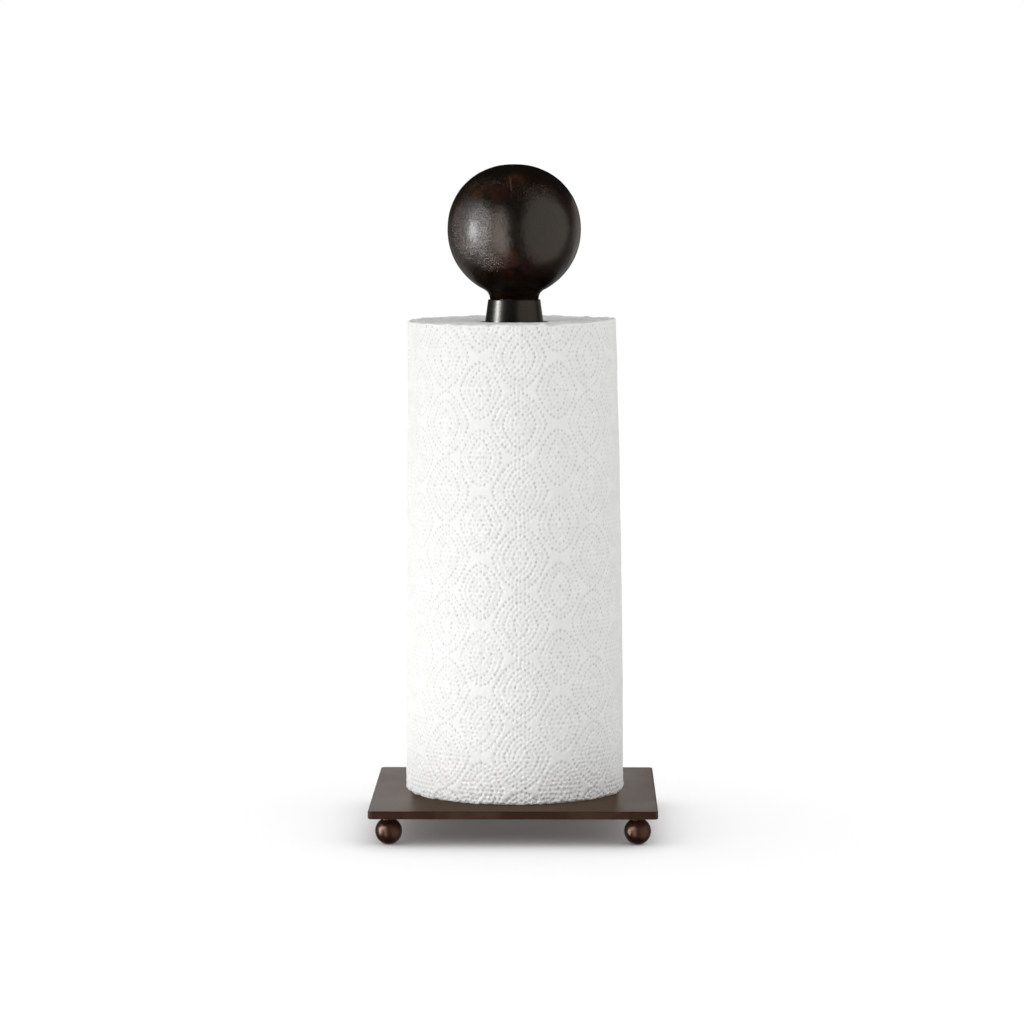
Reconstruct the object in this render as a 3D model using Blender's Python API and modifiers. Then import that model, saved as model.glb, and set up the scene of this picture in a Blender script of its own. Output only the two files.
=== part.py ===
"""Paper towel holder: a square plate on ball feet, a post, a towel roll and a ball finial.

Metres, +Z up. The origin is on the surface it stands on, under the middle of the plate.
"""

from math import acos, asin, cos, pi, radians, sin, sqrt

import bmesh
import bpy
from mathutils import Matrix

MM = 0.001
GAP = 0.3 * MM  # between pieces that touch on the real object
MERGE = 0.00001

# Base plate
PLATE_SIZE = 165.0 * MM
PLATE_THICK = 4.5 * MM
PLATE_BOTTOM = 16.0 * MM
PLATE_TOP = PLATE_BOTTOM + PLATE_THICK
PLATE_CORNER_R = 2.5 * MM
PLATE_EDGE_R = 0.5 * MM

# Ball feet and the studs that hold them
FOOT_R = 7.75 * MM
FOOT_CENTRE_Z = 7.6 * MM  # below its radius, which leaves a small flat to stand on
FOOT_INSET = 11.5 * MM
FOOT_NECK_R = 4.2 * MM
FOOT_STUD_R = 2.5 * MM
FOOT_STUD_BOTTOM = 8.6 * MM
FOOT_STUD_TOP = 18.8 * MM
FOOT_PLACES = {
    "front_left": (-1, -1),
    "front_right": (1, -1),
    "back_left": (-1, 1),
    "back_right": (1, 1),
}

# Post: a 1 inch tube with a plug in each end
POST_R = 12.7 * MM
POST_WALL = 1.5 * MM
POST_BOTTOM = PLATE_TOP + GAP
POST_TOP = 298.5 * MM
PLUG_R = POST_R - POST_WALL - GAP
BOTTOM_PLUG_TOP = 41.0 * MM
TOP_PLUG_BOTTOM = 283.0 * MM

# M8 screw and its washers, from under the plate
SCREW_R = 4.0 * MM
SCREW_TIP = 37.0 * MM
SCREW_HEAD_R = 7.0 * MM
SCREW_HEAD_HIGH = 4.4 * MM
SCREW_SOCKET_ACROSS = 5.0 * MM
SCREW_SOCKET_DEEP = 2.6 * MM
FLAT_WASHER_R = 8.5 * MM
FLAT_WASHER_THICK = 1.6 * MM
LOCK_WASHER_R = 7.2 * MM
LOCK_WASHER_THICK = 1.9 * MM
LOCK_WASHER_SPLIT = 1.2 * MM
LOCK_WASHER_SLANT = radians(35)

# M10 stud that the finial screws onto
STUD_R = 5.0 * MM
STUD_BOTTOM = 279.0 * MM
STUD_TOP = 312.0 * MM

# Thrust washer on top of the post
THRUST_R = 12.8 * MM
THRUST_HOLE_R = 5.6 * MM
THRUST_THICK = 1.2 * MM
THRUST_BOTTOM = POST_TOP + GAP
THRUST_TOP = THRUST_BOTTOM + THRUST_THICK

# Tapered collar, with a socket that covers the post's end
COLLAR_BOTTOM = 293.5 * MM
COLLAR_TOP = 308.0 * MM
COLLAR_BOTTOM_R = 17.1 * MM
COLLAR_TOP_R = 15.25 * MM
COLLAR_EDGE_R = 0.7 * MM
COLLAR_SOCKET_R = 13.3 * MM
COLLAR_SHOULDER_Z = THRUST_TOP + GAP
COLLAR_BORE_R = 12.1 * MM

# Threaded bush in the collar and the ball's neck
BUSH_R = 11.8 * MM
BUSH_BOTTOM = COLLAR_SHOULDER_Z
BUSH_TOP = 318.0 * MM
BUSH_HOLE_TOP = 314.5 * MM

# Hollow ball with a short neck; its crown is a little flatter than a sphere
BALL_R = 38.86 * MM
BALL_CENTRE_Z = 348.4 * MM
BALL_CROWN_HIGH = 38.1 * MM
BALL_CROWN_POWER = 2.1
BALL_WALL = 2.0 * MM
NECK_R = 14.2 * MM
NECK_FILLET_R = 6.0 * MM

# Towel roll, which narrows a little towards its top
ROLL_BOTTOM = PLATE_TOP + GAP
ROLL_TOP = 295.9 * MM
ROLL_BOTTOM_R = 63.5 * MM
ROLL_TOP_R = 61.3 * MM
ROLL_BULGE = 0.5 * MM
ROLL_BOTTOM_EDGE_R = 4.0 * MM
ROLL_TOP_EDGE_R = 1.5 * MM
CORE_R = 19.0 * MM
CORE_WALL = 1.0 * MM
CORE_TOP = 295.4 * MM

BEVEL = 0.4 * MM  # on the ends of studs, plugs and washers
SHARP_ANGLE = radians(35)

# slot: base colour, metallic, roughness
FINISHES = {
    "bronze_plate": ((0.085, 0.062, 0.048), 0.7, 0.36),
    "bronze_foot": ((0.12, 0.045, 0.028), 0.7, 0.34),
    "lacquered_bronze": ((0.030, 0.014, 0.009), 0.1, 0.18),
    "gunmetal": ((0.045, 0.043, 0.044), 0.7, 0.34),
    "dark_steel": ((0.10, 0.10, 0.105), 0.8, 0.45),
    "zinc_steel": ((0.62, 0.62, 0.60), 0.95, 0.32),
    "nylon": ((0.80, 0.78, 0.72), 0.0, 0.5),
    "towel_paper": ((0.88, 0.88, 0.87), 0.0, 0.9),
    "core_card": ((0.42, 0.32, 0.22), 0.0, 0.9),
}


def clear_scene():
    for obj in list(bpy.data.objects):
        bpy.data.objects.remove(obj, do_unlink=True)


def new_collection(name):
    collection = bpy.data.collections.new(name)
    bpy.context.scene.collection.children.link(collection)
    return collection


def finish(slot):
    """The slot's material, made the first time it is asked for."""
    if slot in bpy.data.materials:
        return bpy.data.materials[slot]
    colour, metallic, roughness = FINISHES[slot]
    material = bpy.data.materials.new(slot)
    material.use_nodes = True
    shader = material.node_tree.nodes["Principled BSDF"]
    shader.inputs["Base Color"].default_value = (*colour, 1.0)
    shader.inputs["Metallic"].default_value = metallic
    shader.inputs["Roughness"].default_value = roughness
    return material


def place(name, mesh, collection, slot=None, at=(0, 0, 0)):
    obj = bpy.data.objects.new(name, mesh)
    obj.location = at
    collection.objects.link(obj)
    if slot:
        mesh.materials.clear()
        mesh.materials.append(finish(slot))
    return obj


def arc(centre_r, centre_z, radius, start, end, steps):
    """Points (r, z) along an arc, with angles in degrees from +r towards +z."""
    points = []
    for i in range(steps + 1):
        angle = radians(start + (end - start) * i / steps)
        points.append((centre_r + radius * cos(angle), centre_z + radius * sin(angle)))
    return points


def turned(name, profile, collection, slot, steps=32, closed=False, at=(0, 0, 0)):
    """A turned piece: a profile (r, z) that runs down its outer side, spun about Z."""
    mesh = bpy.data.meshes.new(name)
    edges = [(i, i + 1) for i in range(len(profile) - 1)]
    if closed:
        edges.append((len(profile) - 1, 0))
    mesh.from_pydata([(r, 0, z) for r, z in profile], edges, [])
    obj = place(name, mesh, collection, slot, at)
    screw = obj.modifiers.new("turn", "SCREW")
    screw.axis = "Z"
    screw.angle = 2 * pi
    screw.steps = steps
    screw.render_steps = steps
    screw.use_merge_vertices = True
    screw.merge_threshold = MERGE
    screw.use_smooth_shade = True
    return obj


def rod_profile(radius, bottom, top, bevel=BEVEL):
    return [
        (0, top),
        (radius - bevel, top),
        (radius, top - bevel),
        (radius, bottom + bevel),
        (radius - bevel, bottom),
        (0, bottom),
    ]


def ring_profile(inner, outer, bottom, top, bevel=BEVEL):
    return [
        (inner, top),
        (outer - bevel, top),
        (outer, top - bevel),
        (outer, bottom + bevel),
        (outer - bevel, bottom),
        (inner, bottom),
    ]


def cylinder_cutter(name, radius, bottom, top, cutters, at=(0, 0), sides=32):
    mesh = bpy.data.meshes.new(name)
    bm = bmesh.new()
    bmesh.ops.create_cone(
        bm,
        cap_ends=True,
        segments=sides,
        radius1=radius,
        radius2=radius,
        depth=top - bottom,
    )
    bm.to_mesh(mesh)
    bm.free()
    return hide(place(name, mesh, cutters, at=(*at, (top + bottom) / 2)))


def hide(cutter):
    cutter.hide_render = True
    cutter.display_type = "WIRE"
    return cutter


def cut(obj, cutter):
    boolean = obj.modifiers.new(cutter.name, "BOOLEAN")
    boolean.operation = "DIFFERENCE"
    boolean.solver = "EXACT"
    boolean.object = cutter


def foot_xy(place_name):
    side_x, side_y = FOOT_PLACES[place_name]
    reach = PLATE_SIZE / 2 - FOOT_INSET
    return side_x * reach, side_y * reach


def make_plate(parts, cutters):
    mesh = bpy.data.meshes.new("base_plate")
    bm = bmesh.new()
    bmesh.ops.create_cube(bm, size=1.0)
    bmesh.ops.scale(bm, vec=(PLATE_SIZE, PLATE_SIZE, PLATE_THICK), verts=bm.verts)
    upright = [e for e in bm.edges if abs(e.verts[0].co.z - e.verts[1].co.z) > MM]
    bmesh.ops.bevel(
        bm, geom=upright, offset=PLATE_CORNER_R, segments=5, profile=0.5, affect="EDGES"
    )
    bm.to_mesh(mesh)
    bm.free()
    plate = place(
        "base_plate", mesh, parts, "bronze_plate", at=(0, 0, PLATE_BOTTOM + PLATE_THICK / 2)
    )
    edge = plate.modifiers.new("eased_edge", "BEVEL")
    edge.width = PLATE_EDGE_R
    edge.segments = 2
    edge.limit_method = "ANGLE"
    edge.angle_limit = radians(40)
    screw_hole = cylinder_cutter(
        "screw_hole", SCREW_R + GAP, PLATE_BOTTOM - MM, PLATE_TOP + MM, cutters
    )
    cut(plate, screw_hole)
    for name in FOOT_PLACES:
        stud_hole = cylinder_cutter(
            "stud_hole_" + name,
            FOOT_STUD_R + GAP,
            PLATE_BOTTOM - MM,
            FOOT_STUD_TOP + GAP,
            cutters,
            at=foot_xy(name),
            sides=20,
        )
        cut(plate, stud_hole)


def foot_profile():
    """A ball with a short neck under the plate, a blind hole for its stud and a small flat."""
    hole_r = FOOT_STUD_R + GAP
    hole_bottom = FOOT_STUD_BOTTOM - GAP
    neck_top = PLATE_BOTTOM - GAP
    neck = acos(FOOT_NECK_R / FOOT_R) * 180 / pi
    flat = -asin(FOOT_CENTRE_Z / FOOT_R) * 180 / pi
    stem = [(0, hole_bottom), (hole_r, hole_bottom), (hole_r, neck_top)]
    ball = arc(0, FOOT_CENTRE_Z, FOOT_R, neck, flat, 10)
    return stem + [(FOOT_NECK_R, neck_top)] + ball + [(0, 0)]


def make_feet(parts):
    for name in FOOT_PLACES:
        at = (*foot_xy(name), 0)
        turned("foot_ball_" + name, foot_profile(), parts, "bronze_foot", 22, at=at)
        stud = rod_profile(FOOT_STUD_R, FOOT_STUD_BOTTOM, FOOT_STUD_TOP)
        turned("foot_stud_" + name, stud, parts, "zinc_steel", 16, at=at)


def make_post(parts):
    tube = ring_profile(POST_R - POST_WALL, POST_R, POST_BOTTOM, POST_TOP)
    turned("post_tube", tube, parts, "dark_steel", 32, closed=True)
    bottom_plug = ring_profile(SCREW_R + GAP, PLUG_R, POST_BOTTOM, BOTTOM_PLUG_TOP)
    turned("post_bottom_plug", bottom_plug, parts, "zinc_steel", 24, closed=True)
    top_plug = ring_profile(STUD_R + GAP, PLUG_R, TOP_PLUG_BOTTOM, POST_TOP - GAP)
    turned("post_top_plug", top_plug, parts, "zinc_steel", 24, closed=True)
    stud = rod_profile(STUD_R, STUD_BOTTOM, STUD_TOP, bevel=0.9 * MM)
    turned("finial_stud", stud, parts, "zinc_steel", 24)


def make_post_screw(parts, cutters):
    """A button-head socket screw, a flat washer and a split lock washer."""
    flat_top = PLATE_BOTTOM - GAP
    flat_bottom = flat_top - FLAT_WASHER_THICK
    hole_r = SCREW_R + GAP
    flat = ring_profile(hole_r, FLAT_WASHER_R, flat_bottom, flat_top, bevel=0.2 * MM)
    turned("flat_washer", flat, parts, "zinc_steel", 24, closed=True)

    lock_top = flat_bottom - GAP
    lock_bottom = lock_top - LOCK_WASHER_THICK
    lock = ring_profile(hole_r, LOCK_WASHER_R, lock_bottom, lock_top, bevel=0.2 * MM)
    lock_washer = turned("lock_washer", lock, parts, "zinc_steel", 24, closed=True)
    split_mesh = bpy.data.meshes.new("lock_washer_split")
    bm = bmesh.new()
    bmesh.ops.create_cube(bm, size=1.0)
    size = (LOCK_WASHER_R, LOCK_WASHER_SPLIT, 4 * LOCK_WASHER_THICK)
    bmesh.ops.scale(bm, vec=size, verts=bm.verts)
    slant = Matrix.Rotation(LOCK_WASHER_SLANT, 3, "X")
    bmesh.ops.rotate(bm, cent=(0, 0, 0), matrix=slant, verts=bm.verts)
    bm.to_mesh(split_mesh)
    bm.free()
    middle = ((hole_r + LOCK_WASHER_R) / 2, 0, (lock_top + lock_bottom) / 2)
    cut(lock_washer, hide(place("lock_washer_split", split_mesh, cutters, at=middle)))

    head_top = lock_bottom - GAP
    head_bottom = head_top - SCREW_HEAD_HIGH
    dome_r = SCREW_HEAD_R * 0.62
    profile = rod_profile(SCREW_R, head_top, SCREW_TIP)[:3]
    profile += [(SCREW_R, head_top), (SCREW_HEAD_R - BEVEL, head_top)]
    steps = 5
    for i in range(steps + 1):
        along = radians(90 * i / steps)
        r = dome_r + (SCREW_HEAD_R - dome_r) * cos(along)
        z = head_top - BEVEL - (SCREW_HEAD_HIGH - BEVEL) * sin(along)
        profile.append((r, z))
    profile.append((0, head_bottom))
    screw = turned("post_screw", profile, parts, "zinc_steel", 24)
    socket = cylinder_cutter(
        "screw_socket",
        SCREW_SOCKET_ACROSS / 2 / cos(pi / 6),
        head_bottom - MM,
        head_bottom + SCREW_SOCKET_DEEP,
        cutters,
        sides=6,
    )
    cut(screw, socket)


def make_thrust_washer(parts):
    profile = ring_profile(THRUST_HOLE_R, THRUST_R, THRUST_BOTTOM, THRUST_TOP, 0.2 * MM)
    turned("thrust_washer", profile, parts, "nylon", 32, closed=True)


def make_collar(parts):
    """A cone that widens downwards, bored for the bush and socketed for the post's end."""
    rounded = arc(
        COLLAR_TOP_R - COLLAR_EDGE_R, COLLAR_TOP - COLLAR_EDGE_R, COLLAR_EDGE_R, 90, 7, 4
    )
    profile = [(COLLAR_BORE_R, COLLAR_TOP)]
    profile += rounded
    profile += [
        (COLLAR_BOTTOM_R, COLLAR_BOTTOM + BEVEL),
        (COLLAR_BOTTOM_R - BEVEL, COLLAR_BOTTOM),
        (COLLAR_SOCKET_R, COLLAR_BOTTOM),
        (COLLAR_SOCKET_R, COLLAR_SHOULDER_Z),
        (COLLAR_BORE_R, COLLAR_SHOULDER_Z),
    ]
    turned("finial_collar", profile, parts, "gunmetal", 40, closed=True)


def make_bush(parts):
    hole_r = STUD_R + GAP
    profile = [
        (0, BUSH_TOP),
        (BUSH_R - BEVEL, BUSH_TOP),
        (BUSH_R, BUSH_TOP - BEVEL),
        (BUSH_R, BUSH_BOTTOM),
        (hole_r, BUSH_BOTTOM),
        (hole_r, BUSH_HOLE_TOP),
        (0, BUSH_HOLE_TOP),
    ]
    turned("finial_bush", profile, parts, "zinc_steel", 24)


def ball_side(inset, crown_steps, bowl_steps, fillet_steps):
    """The ball's side from its top down to the neck's end, moved inwards by inset.

    The crown is a superellipse, the bowl under it is part of a sphere, and a fillet that
    touches both the sphere and the neck leads into the neck.
    """
    radius = BALL_R - inset
    crown = BALL_CROWN_HIGH - inset
    points = []
    for i in range(crown_steps):
        angle = radians(90 - 90 * i / crown_steps)
        r = radius * cos(angle) ** (2 / BALL_CROWN_POWER)
        z = BALL_CENTRE_Z + crown * sin(angle) ** (2 / BALL_CROWN_POWER)
        points.append((r, z))
    across = NECK_R + NECK_FILLET_R
    reach = BALL_R + NECK_FILLET_R
    down = sqrt(reach * reach - across * across)
    tangent = -asin(down / reach) * 180 / pi
    points += arc(0, BALL_CENTRE_Z, radius, 0, tangent, bowl_steps)
    fillet_r = NECK_FILLET_R + inset
    points += arc(
        across, BALL_CENTRE_Z - down, fillet_r, 180 + tangent, 180, fillet_steps
    )[1:]
    return points


def make_ball(parts):
    outer = ball_side(0, 11, 12, 5)
    inner = ball_side(BALL_WALL, 4, 5, 2)
    turned("finial_ball", outer + inner[::-1], parts, "lacquered_bronze", 48)


def roll_radius(z):
    """The roll's radius at a height: nearly straight, with a slight belly."""
    share = (z - ROLL_BOTTOM) / (ROLL_TOP - ROLL_BOTTOM)
    straight = ROLL_BOTTOM_R + (ROLL_TOP_R - ROLL_BOTTOM_R) * share
    return straight + ROLL_BULGE * sin(pi * share)


def make_roll(parts):
    inner = CORE_R + CORE_WALL + GAP
    top_edge = ROLL_TOP - ROLL_TOP_EDGE_R
    bottom_edge = ROLL_BOTTOM + ROLL_BOTTOM_EDGE_R
    side_steps = 6
    profile = [(inner, ROLL_TOP)]
    profile += arc(
        roll_radius(top_edge) - ROLL_TOP_EDGE_R, top_edge, ROLL_TOP_EDGE_R, 90, 0, 3
    )
    for i in range(1, side_steps):
        z = top_edge + (bottom_edge - top_edge) * i / side_steps
        profile.append((roll_radius(z), z))
    profile += arc(
        roll_radius(bottom_edge) - ROLL_BOTTOM_EDGE_R, bottom_edge, ROLL_BOTTOM_EDGE_R, 0, -90, 4
    )
    profile.append((inner, ROLL_BOTTOM))
    turned("towel_roll", profile, parts, "towel_paper", 72, closed=True)

    core = ring_profile(CORE_R, CORE_R + CORE_WALL, ROLL_BOTTOM, CORE_TOP, bevel=0.2 * MM)
    turned("roll_core", core, parts, "core_card", 32, closed=True)


def settle(parts):
    """Applies each part's modifiers, then shades it smooth with its edges kept sharp."""
    depsgraph = bpy.context.evaluated_depsgraph_get()
    for obj in parts.objects:
        mesh = bpy.data.meshes.new_from_object(obj.evaluated_get(depsgraph))
        mesh.name = obj.name
        mesh.shade_smooth()
        mesh.set_sharp_from_angle(angle=SHARP_ANGLE)
        obj.modifiers.clear()
        obj.data = mesh


def main():
    clear_scene()
    parts = new_collection("paper_towel_holder")
    cutters = new_collection("cutters")
    make_plate(parts, cutters)
    make_feet(parts)
    make_post(parts)
    make_post_screw(parts, cutters)
    make_thrust_washer(parts)
    make_collar(parts)
    make_bush(parts)
    make_ball(parts)
    make_roll(parts)
    settle(parts)


main()
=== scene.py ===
import itertools
from math import asin, cos, pi, radians, sin, sqrt

import bmesh
import bpy
import numpy as np
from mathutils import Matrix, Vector


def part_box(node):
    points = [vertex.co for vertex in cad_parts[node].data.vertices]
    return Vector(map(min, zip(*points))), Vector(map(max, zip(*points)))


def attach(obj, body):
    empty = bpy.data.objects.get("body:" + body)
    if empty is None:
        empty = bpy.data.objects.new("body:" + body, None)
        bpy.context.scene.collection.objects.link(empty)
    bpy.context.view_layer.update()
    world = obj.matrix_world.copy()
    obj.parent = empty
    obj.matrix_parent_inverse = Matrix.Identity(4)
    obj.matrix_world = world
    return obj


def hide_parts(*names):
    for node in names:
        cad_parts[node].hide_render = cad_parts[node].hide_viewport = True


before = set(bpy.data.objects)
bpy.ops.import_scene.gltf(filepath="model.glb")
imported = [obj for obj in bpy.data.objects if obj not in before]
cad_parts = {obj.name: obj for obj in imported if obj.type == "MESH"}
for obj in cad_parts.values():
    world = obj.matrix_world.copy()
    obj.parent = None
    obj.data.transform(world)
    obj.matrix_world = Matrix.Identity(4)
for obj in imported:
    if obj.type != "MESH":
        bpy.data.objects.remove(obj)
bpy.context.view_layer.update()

MM = 0.001

# Where the frame's pieces are
PLATE_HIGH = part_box("base_plate")[1]
ROLL_LOW, ROLL_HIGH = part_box("towel_roll")
CORE_LOW, CORE_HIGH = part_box("roll_core")
BALL_LOW, BALL_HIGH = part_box("finial_ball")
COLLAR_LOW, COLLAR_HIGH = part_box("finial_collar")
STUD_LOW, STUD_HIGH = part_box("finial_stud")
BUSH_LOW, BUSH_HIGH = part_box("finial_bush")
POST_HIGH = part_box("post_tube")[1]

# Towel roll: it narrows towards the top, and leans on its core
ROLL_BOTTOM_R = 63.7 * MM
ROLL_TOP_R = 60.5 * MM
ROLL_BULGE = 0.5 * MM
ROLL_BOTTOM_EDGE = 2.2 * MM
ROLL_TOP_EDGE = 1.3 * MM
ROLL_HOLE_R = CORE_HIGH.x + 0.3 * MM
ROLL_LEAN = 1.55 * MM  # of the outer sheets towards -X, at the top
ROLL_COLUMNS = 900
ROLL_STEP = 0.45 * MM

# Embossing: two motifs of pitted rings, side by side and half a step apart in height
MOTIF_WIDE = radians(42.5)
MOTIF_HIGH = 38.2 * MM
MOTIF_ANGLE = radians(-16.8)  # of one column of round motifs, from the front towards +X
MOTIF_HEIGHT = 258.2 * MM  # of one round motif's middle
ROUND_RINGS = ((1.8, 2.8), (6.8, 11.2), (12.9, 15.8))  # half width and half height, mm
POINTED_RINGS = ((4.3, 7.3), (9.9, 13.3), (16.3, 18.2))
ROUND_FAINT_RINGS = ((4.3, 7.0), (9.9, 13.5))
POINTED_FAINT_RINGS = ((1.5, 3.2), (7.1, 10.3), (13.1, 15.8))
FAINT_DEPTH = 0.66  # of the faint rings' pits, as a share of the others'
RING_POWERS = (1.75, 1.2)  # round over the top, pointed at the sides
PIT_SPACING = 2.6 * MM
PIT_WIDE = 0.56 * MM
PIT_HIGH = 0.85 * MM
PIT_DEPTH = 0.62 * MM
GROOVE_R = 1.05 * MM
GROOVE_DEPTH = 0.34 * MM
PIT_CLEAR = 1.9 * MM
PIT_STRAY = 0.13 * MM
GROOVE_SHADE_SHARE = 0.38  # how strongly the grooves beside the pits take the pits' painted shade

# The last sheet's free edge, and the perforated line one sheet behind it
TAIL_ANGLE = radians(152)
TAIL_LIFT = 0.5 * MM
TAIL_FADE = 3.0 * MM
SHEET_LONG = 280.0 * MM
SHEET_THICK = 0.55 * MM
SLIT_WIDE = 0.45 * MM
SLIT_DEPTH = 0.22 * MM
SLIT_PITCH = 4.0 * MM

# Uneven paper: the size of its lumps, and their depth
CREPE = (2.2 * MM, 0.13 * MM)
SLACK = (17.0 * MM, 0.22 * MM)
LOW_EDGE_LUMPS = (2.6 * MM, 0.60 * MM)
TOP_EDGE_LUMPS = (3.6 * MM, 0.55 * MM)
LAYER_STEP = 1.45 * MM
LAYER_DEPTH = 0.55 * MM
END_FUZZ = (1.6 * MM, 0.14 * MM)

# Waves of the roll's rim: angle from the front and width in degrees, and height in mm
RIM_WAVES = (
    (-24.0, 11.0, -0.5),
    (-12.0, 1.6, -0.8),
    (22.0, 4.0, -1.1),
    (17.5, 1.5, 0.7),
    (90.0, 38.0, 1.3),
    (180.0, 55.0, 0.9),
)
CURL_ANGLE, CURL_WIDE, CURL_OUT = radians(20.0), radians(2.4), 0.7 * MM
HOLE_DIP = 1.0 * MM
HOLE_DIP_WIDE = 9.0 * MM

# Card core
CARD_THICK = 1.0 * MM
SEAM_PITCH = 95.0 * MM


# ---------------------------------------------------------------- meshes


def soft_step(value, start, end):
    """0 up to start, 1 from end on, and a soft step between."""
    share = np.clip((value - start) / (end - start), 0.0, 1.0)
    return share * share * (3.0 - 2.0 * share)


def hump(value, middle, width):
    """1 at the middle, falling off on both sides over about the width."""
    return np.exp(-(((value - middle) / width) ** 2))


def turn_from(angle, middle):
    """The angle from the middle, from -pi to pi."""
    return (angle - middle + pi) % (2.0 * pi) - pi


def noise(points, cell, seed):
    """Smooth noise from -1 to 1 at each point, with lumps about one cell across."""
    table = np.random.default_rng(seed).uniform(-1.0, 1.0, 4096)
    scaled = np.asarray(points) / cell
    base = np.floor(scaled).astype(np.int64)
    part = scaled - base
    part = part * part * (3.0 - 2.0 * part)
    total = np.zeros(scaled.shape[:-1])
    for corner in itertools.product((0, 1), repeat=3):
        x, y, z = np.moveaxis(base + np.array(corner), -1, 0)
        key = (x * 73856093) ^ (y * 19349663) ^ (z * 83492791)
        weight = np.prod(np.where(np.array(corner), part, 1.0 - part), axis=-1)
        total += weight * table[key & 4095]
    return total


def rough_noise(points, cell, seed, octaves):
    """Noise with finer and fainter lumps added, each octave half as large as the one before."""
    layers = [noise(points, cell / 2**k, seed + k) / 2**k for k in range(octaves)]
    return sum(layers) / sum(1.0 / 2**k for k in range(octaves))


def around(columns):
    """Equal angles round the +Z axis, from +X."""
    return np.arange(columns) * 2.0 * pi / columns


def turned_points(profile, angles):
    """A point for each row of the profile (radius, height) and each angle."""
    radius, height = np.asarray(profile).T
    x = np.outer(radius, np.cos(angles))
    y = np.outer(radius, np.sin(angles))
    z = np.repeat(height[:, None], len(angles), axis=1)
    return np.stack([x, y, z], axis=-1)


def ring_mesh(name, points, closed):
    """An object of quads from rings of points. The last ring meets the first where closed."""
    rows, columns = points.shape[:2]
    index = np.arange(rows * columns).reshape(rows, columns)
    lower = index if closed else index[:-1]
    upper = np.roll(index, -1, axis=0) if closed else index[1:]
    corners = [lower, np.roll(lower, -1, 1), np.roll(upper, -1, 1), upper]
    quads = np.stack(corners, axis=-1).reshape(-1, 4)
    mesh = bpy.data.meshes.new(name)
    mesh.from_pydata(points.reshape(-1, 3), [], quads)
    mesh.shade_smooth()
    obj = bpy.data.objects.new(name, mesh)
    bpy.context.collection.objects.link(obj)
    return obj


def close_poles(obj, axis=Vector((0.0, 0.0))):
    """Joins the points of each ring that has shrunk to a point on the upright axis."""
    mesh = bmesh.new()
    mesh.from_mesh(obj.data)
    poles = [v for v in mesh.verts if (v.co.xy - axis).length < 0.001 * MM]
    bmesh.ops.remove_doubles(mesh, verts=poles, dist=0.01 * MM)
    mesh.to_mesh(obj.data)
    mesh.free()
    obj.data.shade_smooth()


def store(obj, name, values):
    """Keeps a value for each point of the mesh, for its material to read."""
    attribute = obj.data.attributes.new(name, "FLOAT", "POINT")
    attribute.data.foreach_set("value", np.asarray(values, np.float32).ravel())


def lines(*points, step):
    """Points at about equal steps along straight lines from corner to corner."""
    made = []
    for start, end in itertools.pairwise(points):
        count = max(1, round(sqrt((end[0] - start[0]) ** 2 + (end[1] - start[1]) ** 2) / step))
        for k in range(count):
            share = k / count
            made.append((start[0] + (end[0] - start[0]) * share, start[1] + (end[1] - start[1]) * share))
    return made


def arc(middle, radius, start, end, count):
    """Points on an arc, from the start angle to the end angle, the last one included."""
    angles = [start + (end - start) * k / count for k in range(count + 1)]
    return [(middle[0] + radius * cos(a), middle[1] + radius * sin(a)) for a in angles]


def finish_piece(obj, material, body, slot, *nodes):
    """Gives the piece its material and its body, and hides the CAD nodes that it stands for. The slot is not
    used.
    """
    obj.data.materials.append(material)
    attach(obj, body)
    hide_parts(*nodes)
    return obj


# ---------------------------------------------------------------- materials


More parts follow.
